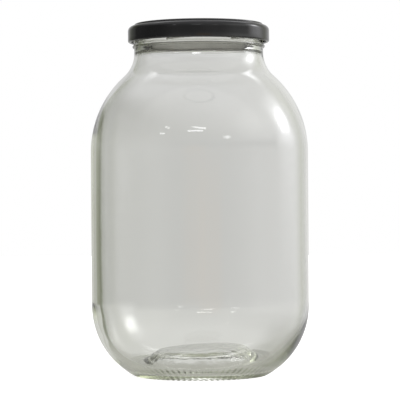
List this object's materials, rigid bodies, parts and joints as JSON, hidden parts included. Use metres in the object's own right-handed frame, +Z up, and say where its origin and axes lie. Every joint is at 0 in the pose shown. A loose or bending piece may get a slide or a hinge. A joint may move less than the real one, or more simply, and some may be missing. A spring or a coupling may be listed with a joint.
{
  "type": "glass jar with lid",
  "caption": "Large round clear glass storage jar, empty, with a curved shoulder and heel and a black metal twist-off lid.",
  "frame": {"origin": "middle of the ring that the jar stands on, at the bottom centre of the bounding box", "axes": "+Z up along the jar's axis; -Y is the side the picture shows; +X to its right"},
  "size_m": [0.1582, 0.1582, 0.2562],
  "materials": {
    "clear_glass": "clear, faintly green",
    "black_lacquer": "semi-gloss"
  },
  "bodies": {
    "root": {"jar": "clear_glass", "lid": "black_lacquer"}
  },
  "joints": []
}
